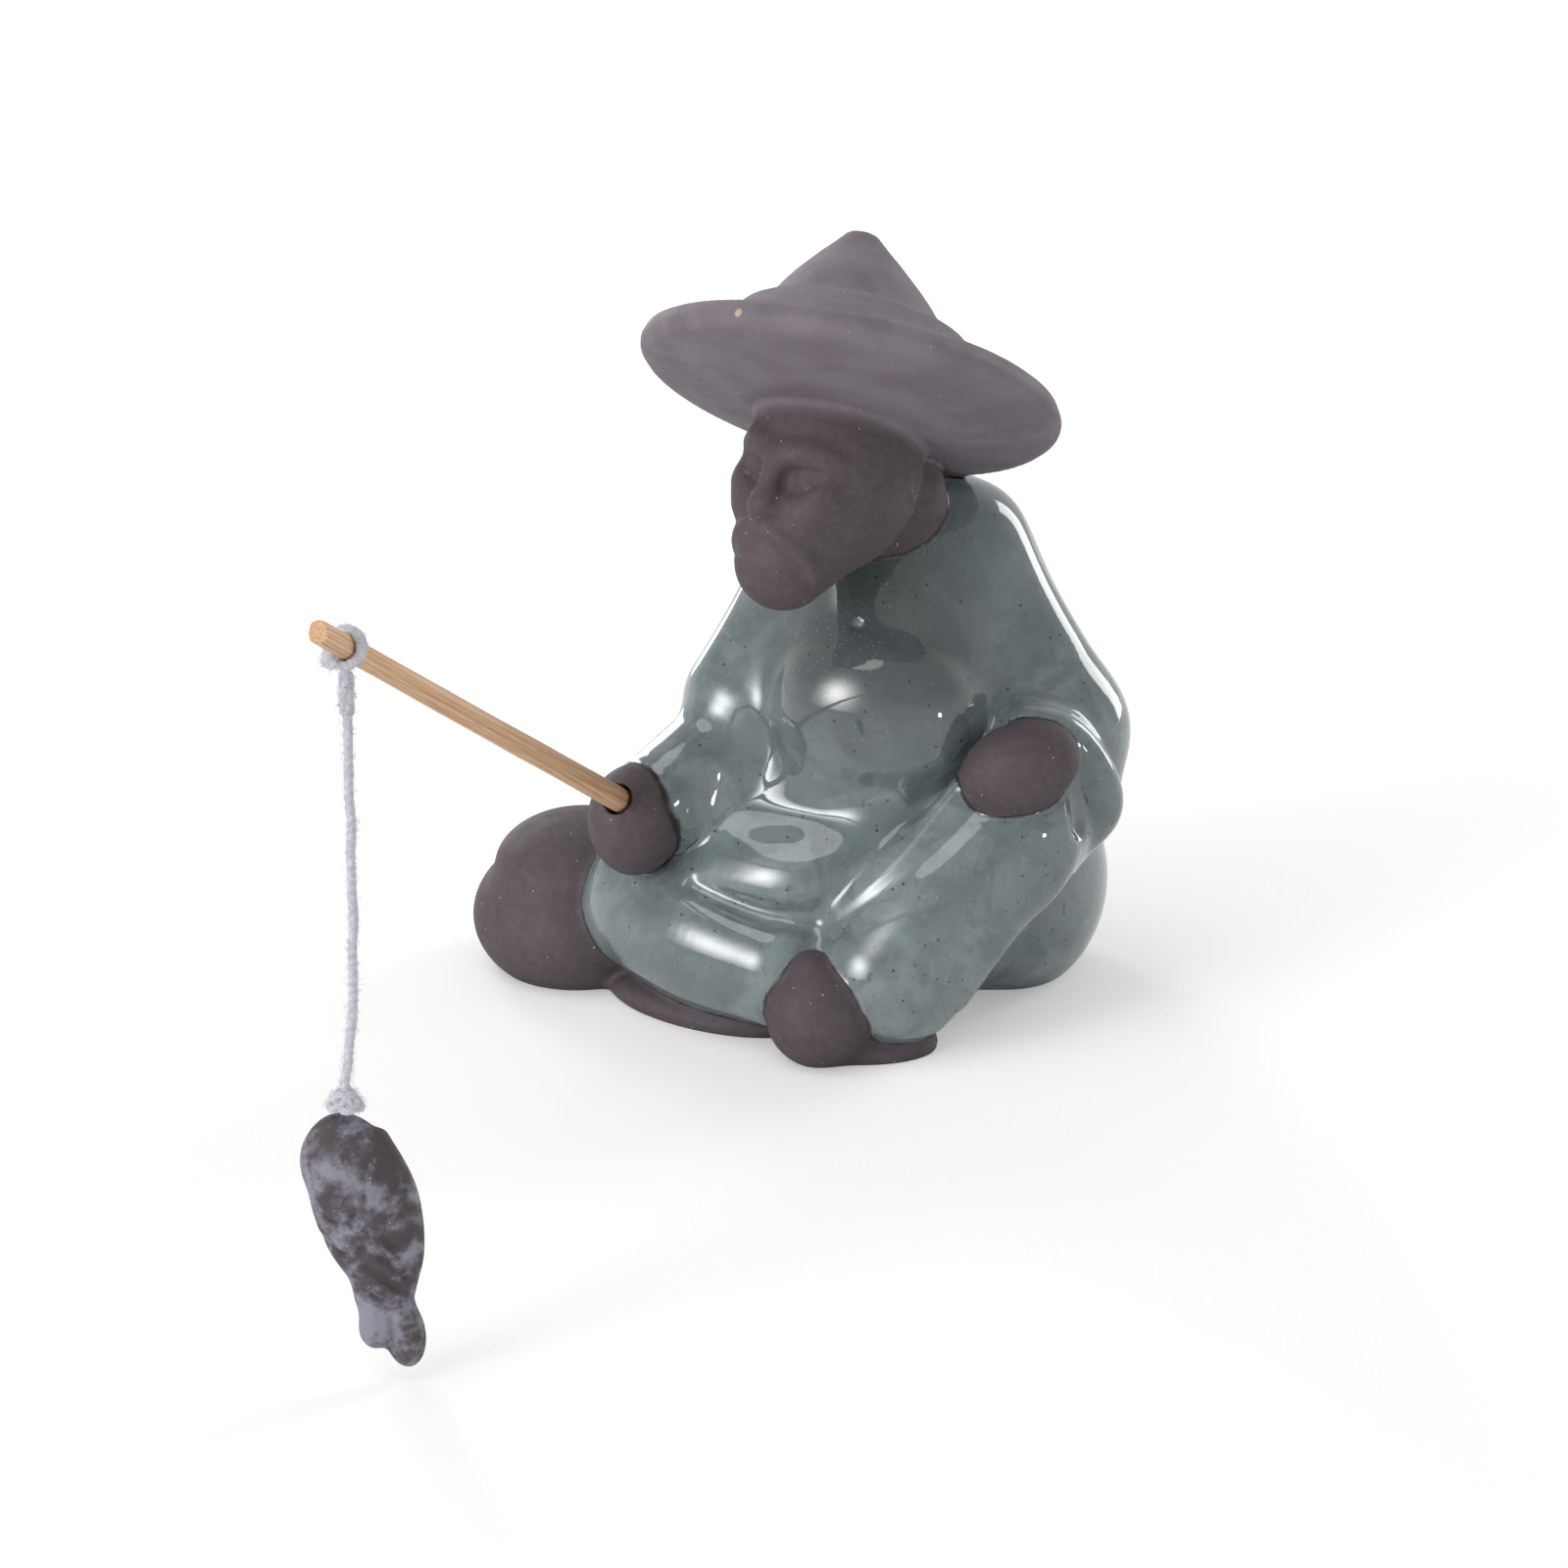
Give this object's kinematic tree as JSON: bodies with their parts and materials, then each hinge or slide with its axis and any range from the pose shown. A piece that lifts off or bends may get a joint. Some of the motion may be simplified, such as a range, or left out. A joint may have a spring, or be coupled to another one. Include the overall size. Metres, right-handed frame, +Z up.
{
  "type": "ceramic fisherman figurine",
  "caption": "Seated clay fisherman in a wide conical hat, glazed robe and bare hands and creel, holding a thin rod with a line and a small clay fish.",
  "frame": {"origin": "on the table plane, on the flat base under the seated figure, near the middle of its 55 by 42 mm footprint", "axes": "+Z up, -Y the way the figure's body faces and the rod points, +X the figure's left side"},
  "size_m": [0.0555, 0.1065, 0.0649],
  "materials": {
    "glazed_figure": "glossy grey-green glaze over the robe, bare purple-brown clay elsewhere",
    "bamboo": "bare split bamboo",
    "cotton_thread": "twisted white cotton",
    "bare_clay": "bare dark clay with a chalky bloom"
  },
  "bodies": {
    "figure": {"fisherman": "glazed_figure", "fishing_rod": "bamboo", "line_loop": "cotton_thread"},
    "hitch": {"hitch_knot": "cotton_thread"},
    "catch": {"fishing_line": "cotton_thread", "mouth_knot": "cotton_thread", "fish": "bare_clay"}
  },
  "joints": [
    {"name": "line_swing_fore", "type": "hinge", "parent": "figure", "child": "hitch", "pos_m": [-0.00885, -0.08075, 0.05169], "axis": [1, 0, 0], "range_deg": [-40, 40]},
    {"name": "line_swing_side", "type": "hinge", "parent": "hitch", "child": "catch", "pos_m": [-0.00885, -0.08075, 0.05169], "axis": [0, 1, 0], "range_deg": [-40, 40]}
  ]
}
